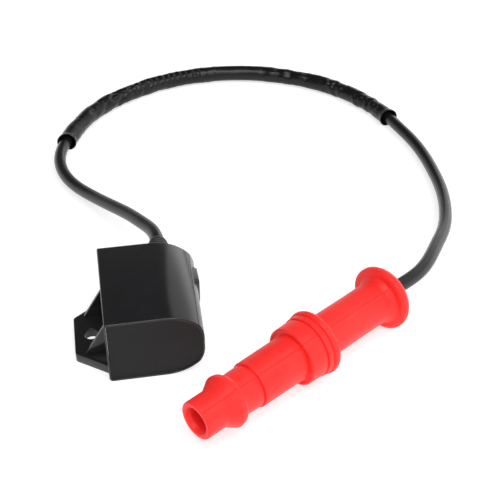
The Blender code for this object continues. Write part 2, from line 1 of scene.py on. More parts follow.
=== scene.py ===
"""Looks for the small-engine ignition coil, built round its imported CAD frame.

Metres, +Z up. The origin is under the middle of the coil, on the surface it lies on. The
camera and the high-tension lead come first, then the sleeve, boot, housing, resin and terminals,
then the materials of what the CAD already shapes well, and last the stage and the lights.
"""

import json
import math

import bmesh
import bpy
import numpy
from mathutils import Matrix, Vector, noise


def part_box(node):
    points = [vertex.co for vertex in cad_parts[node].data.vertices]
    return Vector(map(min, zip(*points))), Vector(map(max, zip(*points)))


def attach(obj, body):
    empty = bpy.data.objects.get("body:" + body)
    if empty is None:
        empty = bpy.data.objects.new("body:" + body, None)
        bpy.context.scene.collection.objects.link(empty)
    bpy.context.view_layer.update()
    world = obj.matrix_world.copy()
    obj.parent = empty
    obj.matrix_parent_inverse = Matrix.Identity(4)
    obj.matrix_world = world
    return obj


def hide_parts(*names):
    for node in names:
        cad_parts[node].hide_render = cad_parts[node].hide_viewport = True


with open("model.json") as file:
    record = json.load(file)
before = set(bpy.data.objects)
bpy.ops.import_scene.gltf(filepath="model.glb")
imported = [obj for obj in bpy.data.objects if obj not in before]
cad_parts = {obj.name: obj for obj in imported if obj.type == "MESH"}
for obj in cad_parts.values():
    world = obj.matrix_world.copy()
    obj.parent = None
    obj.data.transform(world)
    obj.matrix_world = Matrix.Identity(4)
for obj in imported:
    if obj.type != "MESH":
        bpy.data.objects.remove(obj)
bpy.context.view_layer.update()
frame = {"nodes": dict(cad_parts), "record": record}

MM = 0.001
NODES = frame["nodes"]
ALONG_Y = Matrix.Rotation(-math.pi / 2, 4, "X")


# Shared mesh tools


def link(obj):
    bpy.context.scene.collection.objects.link(obj)
    return obj


def mesh_object(name, bm, sharp_angle=30.0):
    """A smooth-shaded object whose edges stay sharp above an angle."""
    bmesh.ops.remove_doubles(bm, verts=bm.verts, dist=1e-7)
    bmesh.ops.recalc_face_normals(bm, faces=bm.faces)
    mesh = bpy.data.meshes.new(name)
    bm.to_mesh(mesh)
    bm.free()
    mesh.shade_smooth()
    mesh.set_sharp_from_angle(angle=math.radians(sharp_angle))
    return link(bpy.data.objects.new(name, mesh))


def skin(rings, wrap=False):
    """Quads through rings of points. Either the last ring joins the first, or both ends are capped."""
    bm = bmesh.new()
    rows = [[bm.verts.new(place) for place in ring] for ring in rings]
    pairs = list(zip(rows, rows[1:]))
    if wrap:
        pairs.append((rows[-1], rows[0]))
    for one, following in pairs:
        for i in range(len(one)):
            j = (i + 1) % len(one)
            bm.faces.new((one[i], one[j], following[j], following[i]))
    if not wrap:
        bm.faces.new(rows[0])
        bm.faces.new(rows[-1])
    return bm


def arc(centre, radius, start_deg, end_deg, segments):
    """Points of an arc in a plane, both ends included."""
    points = []
    for i in range(segments + 1):
        angle = math.radians(start_deg + (end_deg - start_deg) * i / segments)
        points.append((centre[0] + radius * math.cos(angle), centre[1] + radius * math.sin(angle)))
    return points


def filleted(outline, segments=5):
    """A closed outline of (x, y, fillet radius) with each corner rounded, where its sides allow it."""
    rounded = []
    count = len(outline)
    for i, (x, y, radius) in enumerate(outline):
        corner = Vector((x, y))
        before = Vector(outline[i - 1][:2]) - corner
        after = Vector(outline[(i + 1) % count][:2]) - corner
        turn = before.angle(after)
        if radius <= 0 or turn > math.radians(179):
            rounded.append(corner)
            continue
        reach = min(radius / math.tan(turn / 2), 0.48 * before.length, 0.48 * after.length)
        start = corner + before.normalized() * reach
        end = corner + after.normalized() * reach
        for step in range(segments + 1):
            t = step / segments
            rounded.append(start * (1 - t) ** 2 + corner * 2 * t * (1 - t) + end * t**2)
    return rounded


def turned_rings(outline, angles, raised=None):
    """Rings of an outline of (radius, height) about local Z; raised(angle, radius) adds to the radius."""
    rings = []
    for radius, height in outline:
        ring = []
        for angle in angles:
            out = radius + (raised(angle, radius) if raised else 0.0)
            ring.append(Vector((out * math.cos(angle), out * math.sin(angle), height)))
        rings.append(ring)
    return rings


def even_angles(count):
    return [2 * math.pi * i / count for i in range(count)]


def turned(name, outline, segments, place, sharp_angle=30.0):
    """A closed outline of (radius, height) turned about the local Z axis of place."""
    bm = skin(turned_rings(outline, even_angles(segments)), wrap=True)
    bm.transform(place)
    return mesh_object(name, bm, sharp_angle)


def cylinder(name, radius, low, high, segments, place):
    """A plain cylinder from low to high on the local Z axis of place."""
    return turned(name, [(0.0, low), (radius, low), (radius, high), (0.0, high)], segments, place)


def boolean(obj, other, operation):
    """Applies one Boolean and removes what it used."""
    modifier = obj.modifiers.new(operation.lower(), "BOOLEAN")
    modifier.operation = operation
    modifier.object = other
    modifier.solver = "EXACT"
    graph = bpy.context.evaluated_depsgraph_get()
    mesh = bpy.data.meshes.new_from_object(obj.evaluated_get(graph))
    obj.modifiers.clear()
    obj.data = mesh
    bpy.data.objects.remove(other, do_unlink=True)


def plain_box(name, low, high):
    size = [b - a for a, b in zip(low, high)]
    middle = [(a + b) / 2 for a, b in zip(low, high)]
    bm = bmesh.new()
    place = Matrix.Translation(middle) @ Matrix.Diagonal((*size, 1.0))
    bmesh.ops.create_cube(bm, size=1.0, matrix=place)
    return mesh_object(name, bm)


EDGE_STEPS = 3
CORNER_STRETCH = 1.2


def quarter(steps):
    """Angles from 90 degrees down to 0."""
    return [math.pi / 2 * (1 - i / steps) for i in range(steps + 1)]


def inset_towards(point, middle, inset):
    away = middle - point
    return point + away.normalized() * inset * CORNER_STRETCH


def rounded_prism(name, outline, place, low, high, edge_radius):
    """An outline extruded from low to high, with both end faces' edges rounded.

    place turns a point of the outline and a height into a point in space.
    """
    middle = sum((Vector(p) for p in outline), Vector((0.0, 0.0))) / len(outline)
    turns = quarter(EDGE_STEPS)
    levels = [(low + edge_radius * (1 - math.sin(t)), edge_radius * (1 - math.cos(t))) for t in turns]
    for t in reversed(turns):
        levels.append((high - edge_radius * (1 - math.sin(t)), edge_radius * (1 - math.cos(t))))
    rings = []
    for height, inset in levels:
        rings.append([place(inset_towards(Vector(p), middle, inset), height) for p in outline])
    return mesh_object(name, skin(rings))


def smooth_again(obj, sharp_angle):
    """Smooth shading for a piece whose faces a Boolean has changed."""
    obj.data.shade_smooth()
    obj.data.set_sharp_from_angle(angle=math.radians(sharp_angle))


# Materials


class Nodes:
    """Builds one material's nodes, with textures in the object's own metres."""

    def __init__(self, name):
        self.material = bpy.data.materials.new(name)
        self.material.use_nodes = True
        self.tree = self.material.node_tree
        self.shader = self.tree.nodes["Principled BSDF"]
        self.place = self.tree.nodes.new("ShaderNodeTexCoord").outputs["Object"]

    def new(self, kind, **settings):
        node = self.tree.nodes.new(kind)
        for key, value in settings.items():
            setattr(node, key, value)
        return node

    def join(self, output, socket):
        self.tree.links.new(output, socket)

    def stretched(self, scale, rotation=(0.0, 0.0, 0.0)):
        mapping = self.new("ShaderNodeMapping")
        mapping.inputs["Scale"].default_value = scale
        mapping.inputs["Rotation"].default_value = rotation
        self.join(self.place, mapping.inputs["Vector"])
        return mapping.outputs["Vector"]

    def noise(self, scale, detail=4.0, roughness=0.55, place=None):
        node = self.new("ShaderNodeTexNoise")
        node.inputs["Scale"].default_value = scale
        node.inputs["Detail"].default_value = detail
        node.inputs["Roughness"].default_value = roughness
        self.join(place or self.place, node.inputs["Vector"])
        return node.outputs["Fac"]

    def ramp(self, value, stops):
        """Colours at places along a value; a stop is (place, colour)."""
        node = self.new("ShaderNodeValToRGB")
        elements = node.color_ramp.elements
        while len(elements) < len(stops):
            elements.new(0.5)
        for element, (at, colour) in zip(elements, stops):
            element.position = at
            element.color = (*colour, 1.0)
        self.join(value, node.inputs["Fac"])
        return node.outputs["Color"]

    def spread(self, value, low, high):
        """A value from 0.3..0.7 spread over low..high."""
        node = self.new("ShaderNodeMapRange")
        for name, number in (("From Min", 0.3), ("From Max", 0.7), ("To Min", low), ("To Max", high)):
            node.inputs[name].default_value = number
        self.join(value, node.inputs["Value"])
        return node.outputs["Result"]

    def mix(self, factor, one, other, blend="MIX"):
        node = self.new("ShaderNodeMix", data_type="RGBA", blend_type=blend)
        self.join(factor, node.inputs[0])
        self.join(one, node.inputs[6])
        self.join(other, node.inputs[7])
        return node.outputs[2]

    def bump(self, layers):
        """Stacked bumps; a layer is (height value, depth in metres)."""
        normal = None
        for height, depth in layers:
            node = self.new("ShaderNodeBump")
            node.inputs["Strength"].default_value = 1.0
            node.inputs["Distance"].default_value = depth
            self.join(height, node.inputs["Height"])
            if normal:
                self.join(normal, node.inputs["Normal"])
            normal = node.outputs["Normal"]
        self.join(normal, self.shader.inputs["Normal"])

    def set(self, **values):
        """Plain values on the shader's own sockets."""
        for name, value in values.items():
            self.shader.inputs[name.replace("_", " ")].default_value = value


def shade(colour, factor):
    return tuple(min(1.0, c * factor) for c in colour)


def moulded(name, colour, roughness, grain=0.00002, mottle=0.25, scale=2600.0, **settings):
    """Moulded plastic or rubber: a faint mottle, fine grain and uneven gloss."""
    nodes = Nodes(name)
    broad = nodes.noise(90.0, 3.0)
    fine = nodes.noise(scale, 3.0)
    stops = [(0.3, shade(colour, 1 - mottle)), (0.5, colour), (0.72, shade(colour, 1 + mottle))]
    nodes.join(nodes.ramp(broad, stops), nodes.shader.inputs["Base Color"])
    gloss = nodes.noise(420.0, 5.0)
    nodes.join(nodes.spread(gloss, roughness * 0.86, roughness * 1.16), nodes.shader.inputs["Roughness"])
    nodes.bump([(broad, grain * 3), (fine, grain)])
    nodes.set(**settings)
    return nodes.material


def metal(name, colour, roughness, stretch=(30.0, 2200.0, 2200.0), tarnish=0.35):
    """Drawn or rolled metal: fine lines one way, and patches of duller colour."""
    nodes = Nodes(name)
    lines = nodes.noise(1.0, 4.0, place=nodes.stretched(stretch))
    patches = nodes.noise(260.0, 5.0)
    stops = [(0.3, shade(colour, 1 - tarnish)), (0.6, colour), (0.8, shade(colour, 1.12))]
    nodes.join(nodes.ramp(patches, stops), nodes.shader.inputs["Base Color"])
    nodes.join(nodes.spread(patches, roughness * 0.8, roughness * 1.35), nodes.shader.inputs["Roughness"])
    nodes.bump([(lines, 0.00001)])
    nodes.set(Metallic=1.0)
    return nodes.material


def wound(name, colour, pitch, along="Y"):
    """Fine enamelled wire laid side by side along an axis, with painted shade in the hollows between turns
    and a painted highlight on their crests.
    """
    nodes = Nodes(name)
    wave = nodes.new("ShaderNodeTexWave", wave_type="BANDS", bands_direction=along, wave_profile="SIN")
    wave.inputs["Scale"].default_value = 2 * math.pi / (20.0 * pitch)
    wave.inputs["Distortion"].default_value = 0.4
    wave.inputs["Detail"].default_value = 2.0
    nodes.join(nodes.place, wave.inputs["Vector"])
    turns = wave.outputs["Fac"]
    # Painted shade and highlight: the colour darkens in the hollows between turns and lightens on their
    # crests.
    stops = [(0.0, shade(colour, 0.35)), (0.4, colour), (1.0, shade(colour, 1.15))]
    nodes.join(nodes.ramp(turns, stops), nodes.shader.inputs["Base Color"])
    nodes.join(nodes.spread(nodes.noise(300.0), 0.22, 0.4), nodes.shader.inputs["Roughness"])
    nodes.bump([(turns, pitch * 0.4)])
    nodes.set(Metallic=0.85, Coat_Weight=0.5, Coat_Roughness=0.2)
    return nodes.material


def resin_material():
    """Poured epoxy: a dull, nearly level face with slow ripples, dust and a few pinholes."""
    nodes = Nodes("epoxy_look")
    slow = nodes.noise(120.0, 3.0)
    dust = nodes.noise(2400.0, 6.0, 0.7)
    base = nodes.ramp(slow, [(0.3, (0.0078, 0.0078, 0.0084)), (0.7, (0.0098, 0.0098, 0.0106))])
    specks = nodes.ramp(dust, [(0.60, (0.0, 0.0, 0.0)), (0.72, (1.0, 1.0, 1.0))])
    light = nodes.ramp(slow, [(0.0, (0.020, 0.020, 0.019)), (1.0, (0.023, 0.023, 0.022))])
    fade = nodes.new("ShaderNodeMath", operation="MULTIPLY")
    fade.inputs[1].default_value = 0.35
    nodes.join(specks, fade.inputs[0])
    nodes.join(nodes.mix(fade.outputs[0], base, light), nodes.shader.inputs["Base Color"])
    nodes.join(nodes.spread(dust, 0.46, 0.64), nodes.shader.inputs["Roughness"])
    nodes.bump([(slow, 0.00006), (dust, 0.000006)])
    nodes.set(Specular_IOR_Level=0.22)
    return nodes.material


def silicone_material():
    """Red silicone: a soft sheen, slight cloudiness and a powdery bloom in patches."""
    nodes = Nodes("boot_silicone_look")
    broad = nodes.noise(70.0, 3.0)
    bloom = nodes.noise(700.0, 6.0, 0.65)
    reds = [(0.3, (0.90, 0.015, 0.012)), (0.55, (0.94, 0.020, 0.016)), (0.75, (0.97, 0.026, 0.021))]
    base = nodes.ramp(broad, reds)
    pale = nodes.ramp(bloom, [(0.45, (0.93, 0.020, 0.016)), (0.8, (0.97, 0.055, 0.047))])
    share = nodes.ramp(bloom, [(0.5, (0.0, 0.0, 0.0)), (0.85, (0.4, 0.4, 0.4))])
    nodes.join(nodes.mix(share, base, pale), nodes.shader.inputs["Base Color"])
    nodes.join(nodes.spread(bloom, 0.42, 0.54), nodes.shader.inputs["Roughness"])
    nodes.bump([(broad, 0.00008), (bloom, 0.000012)])
    nodes.set(Specular_IOR_Level=0.35)
    nodes.set(Subsurface_Weight=0.04, Subsurface_Scale=0.001, Subsurface_Radius=(1.0, 0.12, 0.08))
    nodes.set(Sheen_Weight=0.08, Sheen_Roughness=0.5, Sheen_Tint=(1.0, 0.62, 0.6, 1.0))
    return nodes.material


def sleeve_material():
    """Glossy vinyl tubing with scuffs that break up its shine."""
    nodes = Nodes("sleeve_vinyl_look")
    slow = nodes.noise(160.0, 3.0)
    scuffs = nodes.noise(700.0, 5.0, 0.6)
    base = nodes.ramp(slow, [(0.3, (0.0028, 0.0028, 0.0031)), (0.7, (0.0048, 0.0048, 0.0052))])
    nodes.join(base, nodes.shader.inputs["Base Color"])
    nodes.join(nodes.spread(scuffs, 0.27, 0.38), nodes.shader.inputs["Roughness"])
    nodes.bump([(slow, 0.00006), (scuffs, 0.000002)])
    nodes.set(Specular_IOR_Level=0.34)
    return nodes.material


MATERIALS = {
    "housing_plastic": moulded(
        "housing_plastic_look", (0.0104, 0.0105, 0.0116), 0.20, grain=0.000002, mottle=0.12
    ),
    "epoxy": resin_material(),
    "core_steel": metal("core_steel_look", (0.30, 0.31, 0.32), 0.42),
    "bobbin_plastic": moulded("bobbin_plastic_look", (0.70, 0.66, 0.52), 0.45, mottle=0.08),
    "enamelled_copper": wound("enamelled_copper_look", (0.50, 0.17, 0.06), 0.00025),
    "copper": metal("copper_look", (0.78, 0.38, 0.20), 0.32),
    "brass": metal("brass_look", (0.74, 0.54, 0.22), 0.28),
    "tinned_brass": metal("tinned_brass_look", (0.66, 0.65, 0.61), 0.27),
    "spring_steel": metal("spring_steel_look", (0.52, 0.52, 0.53), 0.25),
    "lead_rubber": moulded("lead_rubber_look", (0.0058, 0.0057, 0.0056), 0.25, grain=0.000003),
    "gland_rubber": moulded("gland_rubber_look", (0.010, 0.010, 0.0102), 0.42, grain=0.000008),
    "sleeve_vinyl": sleeve_material(),
    "boot_silicone": silicone_material(),
    "phenolic": moulded("phenolic_look", (0.045, 0.030, 0.024), 0.45, mottle=0.4),
    "ceramic": moulded("ceramic_look", (0.78, 0.75, 0.68), 0.30, mottle=0.05),
}


def finish_piece(obj, slot, body, *nodes):
    """Gives a piece its material, slot and body, and the CAD nodes it stands for."""
    obj.data.materials.clear()
    obj.data.materials.append(MATERIALS[slot])
    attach(obj, body)
    if nodes:
        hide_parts(*nodes)
    return obj


# Camera

CAMERA_PLACE = Vector((-0.0109, -0.36905, 0.3239))
CAMERA_AIM = Vector((0.0642, 0.05255, 0.0))
CAMERA_LENS = 72.0
CAMERA_SENSOR = 36.0


def make_camera():
    camera = bpy.data.cameras.new("camera")
    camera.lens = CAMERA_LENS
    camera.sensor_width = CAMERA_SENSOR
    obj = link(bpy.data.objects.new("camera", camera))
    obj.location = CAMERA_PLACE
    obj.rotation_euler = (CAMERA_AIM - CAMERA_PLACE).to_track_quat("-Z", "Y").to_euler()
    bpy.context.scene.camera = obj


# Lead

OUTLET = Vector((13.9 * MM, 21.75 * MM, 25.0 * MM))
GLAND_TIP_Y = 34.75 * MM
LEAD_RADIUS = 3.5 * MM
LEAD_STEP = 2.0 * MM
LOOP_CENTRE = Vector((72.15 * MM, 140.95 * MM, 5.25 * MM))
LOOP_RADIUS = 106.7 * MM
BOOT_TIP = Vector((17.3 * MM, -80.85 * MM, 16.05 * MM))
BOOT_YAW = math.radians(33.05)
BOOT_ALONG = Vector((math.cos(BOOT_YAW), math.sin(BOOT_YAW), 0.0))


def spline_slopes(knots, places):
    """Second derivatives at each knot of the natural cubic spline through the places."""
    count = len(knots)
    gaps = numpy.diff(knots)
    rises = numpy.diff(places, axis=0) / gaps[:, None]
    system = numpy.eye(count)
    wanted = numpy.zeros((count, 3))
    for i in range(1, count - 1):
        system[i, i - 1] = gaps[i - 1]
        system[i, i] = 2 * (gaps[i - 1] + gaps[i])
        system[i, i + 1] = gaps[i]
        wanted[i] = 6 * (rises[i] - rises[i - 1])
    return numpy.linalg.solve(system, wanted)


def smooth_line(points, step):
    """Points about a step apart on the natural cubic spline through the given points."""
    places = numpy.array([tuple(p) for p in points])
    knots = numpy.concatenate([[0.0], numpy.cumsum(numpy.linalg.norm(numpy.diff(places, axis=0), axis=1))])
    bends = spline_slopes(knots, places)
    line = []
    for at in numpy.linspace(0.0, knots[-1], round(knots[-1] / step) + 1):
        i = min(int(numpy.searchsorted(knots, at, side="right")) - 1, len(knots) - 2)
        gap = knots[i + 1] - knots[i]
        before = (knots[i + 1] - at) / gap
        after = (at - knots[i]) / gap
        bulge = ((before**3 - before) * bends[i] + (after**3 - after) * bends[i + 1]) * gap**2 / 6
        line.append(Vector(before * places[i] + after * places[i + 1] + bulge))
    return line


def lead_route():
    """Out of the gland, down to the surface, round the loop and up into the boot, as in the CAD."""
    coil_side = [
        (0.0139, 0.0120, 0.0250),
        (0.0139, 0.0240, 0.0250),
        (0.0139, 0.0360, 0.0250),
        (0.0123, 0.0470, 0.0237),
        (0.0087, 0.0565, 0.0217),
        (0.0016, 0.0725, 0.0178),
        (-0.0070, 0.0888, 0.0134),
        (-0.0164, 0.1063, 0.0089),
        (-0.0261, 0.1243, 0.0060),
        (-0.0315, 0.1385, 0.0053),
    ]
    boot_side = [
        (0.1812, 0.1404, 0.0051),
        (0.1833, 0.1212, 0.0047),
        (0.1831, 0.1028, 0.0047),
        (0.1811, 0.0832, 0.0055),
        (0.1761, 0.0623, 0.0072),
        (0.1677, 0.0409, 0.0098),
        (0.1566, 0.0222, 0.0131),
    ]
    round_stretch = arc(LOOP_CENTRE.to_2d(), LOOP_RADIUS, 171.0, 8.5, 14)
    points = [Vector(p) for p in coil_side]
    points += [Vector((x, y, LOOP_CENTRE.z)) for x, y in round_stretch]
    points += [Vector(p) for p in boot_side]
    points += [BOOT_TIP + BOOT_ALONG * s * MM for s in (143.5, 129.5, 115.5, 93.0)]
    return points


def make_lead():
    curve = bpy.data.curves.new("high_tension_lead", "CURVE")
    curve.dimensions = "3D"
    curve.bevel_depth = LEAD_RADIUS
    curve.bevel_resolution = 10
    curve.use_fill_caps = True
    line = smooth_line(lead_route(), LEAD_STEP)
    spline = curve.splines.new("POLY")
    spline.points.add(len(line) - 1)
    spline.use_smooth = True
    for point, place in zip(spline.points, line):
        point.co = (*place, 1.0)
    lead = link(bpy.data.objects.new("high_tension_lead", curve))
    return finish_piece(lead, "lead_rubber", "coil", "ignition_lead")


# Sleeve

SLEEVE_START_DEG = 14.8
SLEEVE_END_DEG = 162.0
SLEEVE_OUTER = 5.0 * MM
SLEEVE_WALL = 0.6 * MM
SLEEVE_RINGS = 560
SLEEVE_SIDES = 60
SLEEVE_LENGTH = LOOP_RADIUS * math.radians(SLEEVE_END_DEG - SLEEVE_START_DEG)
CLEAR_OF_LEAD = 3.62 * MM
THINNEST_WALL = 0.3 * MM
SLIDE_ROOM = 0.25 * MM
CLEAR_OF_FLOOR = 0.05 * MM
CREASED_SIDE = math.radians(130.0)
MOUTH_FLARE = 0.75
MOUTH_FLARE_REACH = 2.6
PLUG_MOUTH_SLANT = -0.7
COIL_MOUTH_SLANT = 1.1
SLANT_REACH = 12.0
SETTLED_AFTER = 6.0
SLIDE_ROOM_REACH = 16.0

# Where the sleeve is creased: (place, depth, width, lean, reach), lengths in millimetres from its
# plug end. The lean carries a crease along the tube as it goes round, so that it makes a V.
CREASES = [
    (13.0, 0.86, 2.3, 2.2, 0.9),
    (18.5, 0.63, 1.6, -1.4, 0.7),
    (24.0, 1.00, 3.2, 0.7, 1.2),
    (29.5, 0.69, 1.9, -2.2, 0.8),
    (43.0, 0.63, 2.0, 1.4, 0.9),
    (50.0, 0.92, 2.3, -2.5, 1.0),
    (55.0, 0.69, 1.7, 2.2, 0.8),
    (72.0, 0.50, 3.9, 2.9, 0.7),
    (84.0, 0.75, 3.5, -2.2, 0.8),
    (92.5, 0.75, 3.5, 2.2, 0.8),
    (103.0, 0.45, 3.0, -1.8, 0.7),
    (189.0, 0.55, 2.6, 4.5, 0.8),
    (201.0, 0.70, 2.3, -5.4, 0.9),
    (210.0, 0.95, 2.9, 6.3, 1.0),
    (216.5, 0.85, 2.6, -6.3, 1.0),
    (226.0, 0.65, 2.9, 5.4, 0.9),
    (238.0, 0.50, 3.2, -4.5, 0.8),
]
RIPPLES_FROM = 144.0
RIPPLES_TO = 207.0
RIPPLE_PITCH = 4.3
RIPPLE_DEPTH = 0.8


def near(value, width):
    return math.exp(-((value / width) ** 2))


def pressed_in(at, around):
    """How far the wall is pressed in, in millimetres, at a length in millimetres and an angle round."""
    total = 0.0
    off_middle = math.remainder(around - CREASED_SIDE, 2 * math.pi)
    for place, depth, width, lean, reach in CREASES:
        away = at - place - lean * (abs(off_middle) - 0.4)
        if abs(away) < 3 * width:
            total += depth * near(away, width) * near(off_middle, reach * 1.5)
            total -= 0.35 * depth * near(away - 1.6 * width, 0.9 * width) * near(off_middle, reach * 1.5)
    if RIPPLES_FROM < at < RIPPLES_TO:
        fade = min(1.0, (at - RIPPLES_FROM) / 8.0, (RIPPLES_TO - at) / 8.0)
        wander = 0.5 * noise.noise(Vector((at * 0.09, 4.2, 0.0)))
        phase = 2 * math.pi * (at / RIPPLE_PITCH + wander)
        strength = 0.85 + 0.6 * noise.noise(Vector((at * 0.17, around, 7.7)))
        total += RIPPLE_DEPTH * fade * strength * ((1 - math.cos(phase)) / 2) ** 2 * near(off_middle, 0.8)
    return total


def crumple(at, around):
    """Uneven dents and soft ridges over the whole sleeve, in millimetres."""
    side = Vector((math.cos(around), math.sin(around)))
    slow = noise.noise(Vector((at * 0.085, side.x * 0.9, side.y * 0.9)))
    quick = noise.noise(Vector((at * 0.28 + 40.0, side.x * 1.7, side.y * 1.7)))
    ridge = 1 - abs(noise.noise(Vector((at * 0.16 + 90.0, side.x * 1.4, side.y * 1.4)))) * 2.6
    calm = 0.35 if 104.0 < at < 138.0 else 1.0
    return (0.48 * slow + 0.07 * quick + 0.16 * max(ridge, 0.0) ** 3 - 0.04) * calm


def sleeve_shift(share, at):
    """How far the sleeve's own middle lies inwards and up from the lead's at a share of its length."""
    ends = math.cos(math.pi * share) ** 6
    drift = noise.noise(Vector((at * 0.03, 3.7, 0.0)))
    inward = (-0.05 + 0.62 * ends + 0.35 * drift) * MM
    up = (0.10 + 0.2 * noise.noise(Vector((at * 0.024, 9.1, 0.0)))) * MM
    return inward, up


def sleeve_ring(share, inside):
    """One ring of the sleeve's outside or inside, with its flared, slanting mouths."""
    at = share * SLEEVE_LENGTH / MM
    to_mouth = min(at, SLEEVE_LENGTH / MM - at)
    flare = MOUTH_FLARE * near(to_mouth, MOUTH_FLARE_REACH)
    inward, up = sleeve_shift(share, at)
    clear = CLEAR_OF_LEAD + SLIDE_ROOM * near(SLEEVE_LENGTH / MM - at, SLIDE_ROOM_REACH)
    mouth_slant = COIL_MOUTH_SLANT if share > 0.5 else PLUG_MOUTH_SLANT
    settle = min(1.0, to_mouth / SETTLED_AFTER)
    ring = []
    for i in range(SLEEVE_SIDES):
        around = 2 * math.pi * i / SLEEVE_SIDES
        slant = mouth_slant * math.cos(around) * max(0.0, 1 - to_mouth / SLANT_REACH)
        angle = math.radians(SLEEVE_START_DEG) + (at + slant) * MM / LOOP_RADIUS
        outward = Vector((math.cos(angle), math.sin(angle), 0.0))
        uneven = (crumple(at, around) - pressed_in(at, around)) * settle + flare
        radius = SLEEVE_OUTER + uneven * MM
        off = Vector((radius * math.cos(around) - inward, radius * math.sin(around) + up))
        off = off.normalized() * max(off.length, clear + THINNEST_WALL)
        if inside:
            off = off.normalized() * max(off.length - SLEEVE_WALL, clear)
        place = LOOP_CENTRE + outward * (LOOP_RADIUS + off.x) + Vector((0.0, 0.0, off.y))
        lowest = CLEAR_OF_FLOOR + (THINNEST_WALL if inside else 0.0)
        place.z = max(place.z, lowest)
        ring.append(place)
    return ring


def make_sleeve():
    """A loose tube with open mouths, creased and rippled where it has been pushed along the lead."""
    shares = [i / SLEEVE_RINGS for i in range(SLEEVE_RINGS + 1)]
    outside = [sleeve_ring(share, False) for share in shares]
    inside = [sleeve_ring(share, True) for share in reversed(shares)]
    sleeve = mesh_object("loose_sleeve", skin(outside + inside, wrap=True), 70.0)
    return finish_piece(sleeve, "sleeve_vinyl", "sleeve", "lead_sleeve")


# Boot

BOOT_SIDES = 120
SEAM_DEG = 59.5
SEAM_HEIGHT = 0.3 * MM
SEAM_HALF_WIDTH = 0.25 * MM
SEAM_SPREAD = 0.028
BOOT_OUTSIDE_FROM = 8.9 * MM


def boot_profile():
    """The boot's half section of (radius, place along it, fillet): tip to rear, then back inside."""
    outside = [
        (9.0, 0.0, 1.3),
        (9.05, 11.0, 1.8),
        (12.5, 16.3, 1.5),
        (12.1, 18.9, 1.0),
        (9.95, 21.0, 1.6),
        (10.15, 30.1, 0.15),
        (9.6, 30.35, 0.1),
        (9.6, 30.8, 0.1),
        (10.9, 30.9, 0.4),
        (11.2, 57.0, 0.15),
        (12.7, 57.0, 0.15),
        (12.9, 56.2, 0.3),
        (14.1, 56.4, 1.0),
        (14.4, 65.0, 0.25),
        (13.75, 65.3, 0.1),
        (13.75, 65.8, 0.1),
        (14.85, 66.0, 0.25),
        (14.9, 68.6, 0.2),
        (14.3, 69.0, 0.12),
        (15.5, 69.5, 0.5),
        (15.85, 71.2, 1.0),
        (15.3, 72.5, 0.6),
        (12.4, 73.1, 0.5),
        (10.4, 74.5, 0.8),
        (10.3, 98.0, 4.0),
        (10.5, 112.4, 2.2),
        (12.2, 115.5, 1.0),
        (14.2, 115.4, 0.6),
        (16.0, 116.1, 1.3),
        (16.0, 118.8, 1.7),
        (14.2, 121.2, 1.1),
        (11.6, 121.1, 0.5),
    ]
    inside = [
        (9.0, 120.2, 1.0),
        (5.2, 118.6, 0.5),
        (3.85, 116.6, 0.4),
        (3.85, 99.3, 0.2),
        (7.8, 99.3, 0.2),
        (7.8, 60.6, 0.2),
        (8.6, 60.3, 0.1),
        (8.6, 54.7, 0.1),
        (7.8, 54.4, 0.2),
        (7.8, 24.4, 0.3),
        (5.8, 24.0, 0.3),
        (5.7, 2.4, 1.2),
        (6.7, 0.0, 1.2),
    ]
    return [tuple(value * MM for value in point) for point in outside + inside]


def off_seam(angle):
    """The angle between a direction round the boot and the nearer of its two mould seams."""
    seam = math.radians(SEAM_DEG)
    return min(abs(math.remainder(angle - seam - half_turn, 2 * math.pi)) for half_turn in (0.0, math.pi))


def boot_angles():
    """Angles round the boot, with extra ones across each seam."""
    angles = [a for a in even_angles(BOOT_SIDES) if off_seam(a) > SEAM_SPREAD * 1.6]
    for half_turn in (0.0, math.pi):
        angles += [math.radians(SEAM_DEG) + half_turn + SEAM_SPREAD * step / 3 for step in range(-3, 4)]
    return sorted(a % (2 * math.pi) for a in angles)


def on_seam(angle, radius):
    """How far a seam raises the boot's outside."""
    if radius < BOOT_OUTSIDE_FROM:
        return 0.0
    return SEAM_HEIGHT * math.exp(-((off_seam(angle) * radius / SEAM_HALF_WIDTH) ** 2))


def make_boot():
    """The silicone boot. Its local Z runs from the tip along the axis, and local X to the camera's side."""
    sideways = Vector((math.sin(BOOT_YAW), -math.cos(BOOT_YAW), 0.0))
    upwards = Vector((0.0, 0.0, 1.0))
    turn = Matrix((sideways, upwards, BOOT_ALONG)).transposed().to_4x4()
    bm = skin(turned_rings(filleted(boot_profile()), boot_angles(), on_seam), wrap=True)
    bm.transform(Matrix.Translation(BOOT_TIP) @ turn)
    boot = mesh_object("silicone_boot", bm, 60.0)
    return finish_piece(boot, "boot_silicone", "boot", "plug_boot")


# Housing

OPEN_END_Y = -34.75 * MM
CLOSED_END_Y = 21.75 * MM
FLAT_SIDE_X = -16.4 * MM
OPEN_END_HEIGHT = 34.1 * MM
CLOSED_END_HEIGHT = 34.8 * MM
OPEN_END_SIDE_X = 28.0 * MM
CLOSED_END_SIDE_X = 30.5 * MM
SHOULDER_START_X = 10.0 * MM
SHOULDER_RADIUS = 23.2 * MM
CREASE_DEPTH = 2.4 * MM
CREASE_DROP = 8.0 * MM
CREASE_GROOVE = 0.3 * MM
GROOVE_HALF_DEG = 0.55
WALL = 1.6 * MM
END_WALL = 2.0 * MM
RIM_WALL = 1.0 * MM
RIM_TAPER = 5.0 * MM
CORNER_RADIUS = 2.0 * MM
SHOULDER_SEGMENTS = 26
SIDE_SEGMENTS = 12
CORNER_SEGMENTS = 8


def between_ends(y, at_open_end, at_closed_end):
    """The housing is drafted: it grows a little towards its closed end."""
    along = (y - OPEN_END_Y) / (CLOSED_END_Y - OPEN_END_Y)
    return at_open_end + (at_closed_end - at_open_end) * along


def angle_from(centre, point):
    return math.degrees(math.atan2(point[1] - centre[1], point[0] - centre[0]))


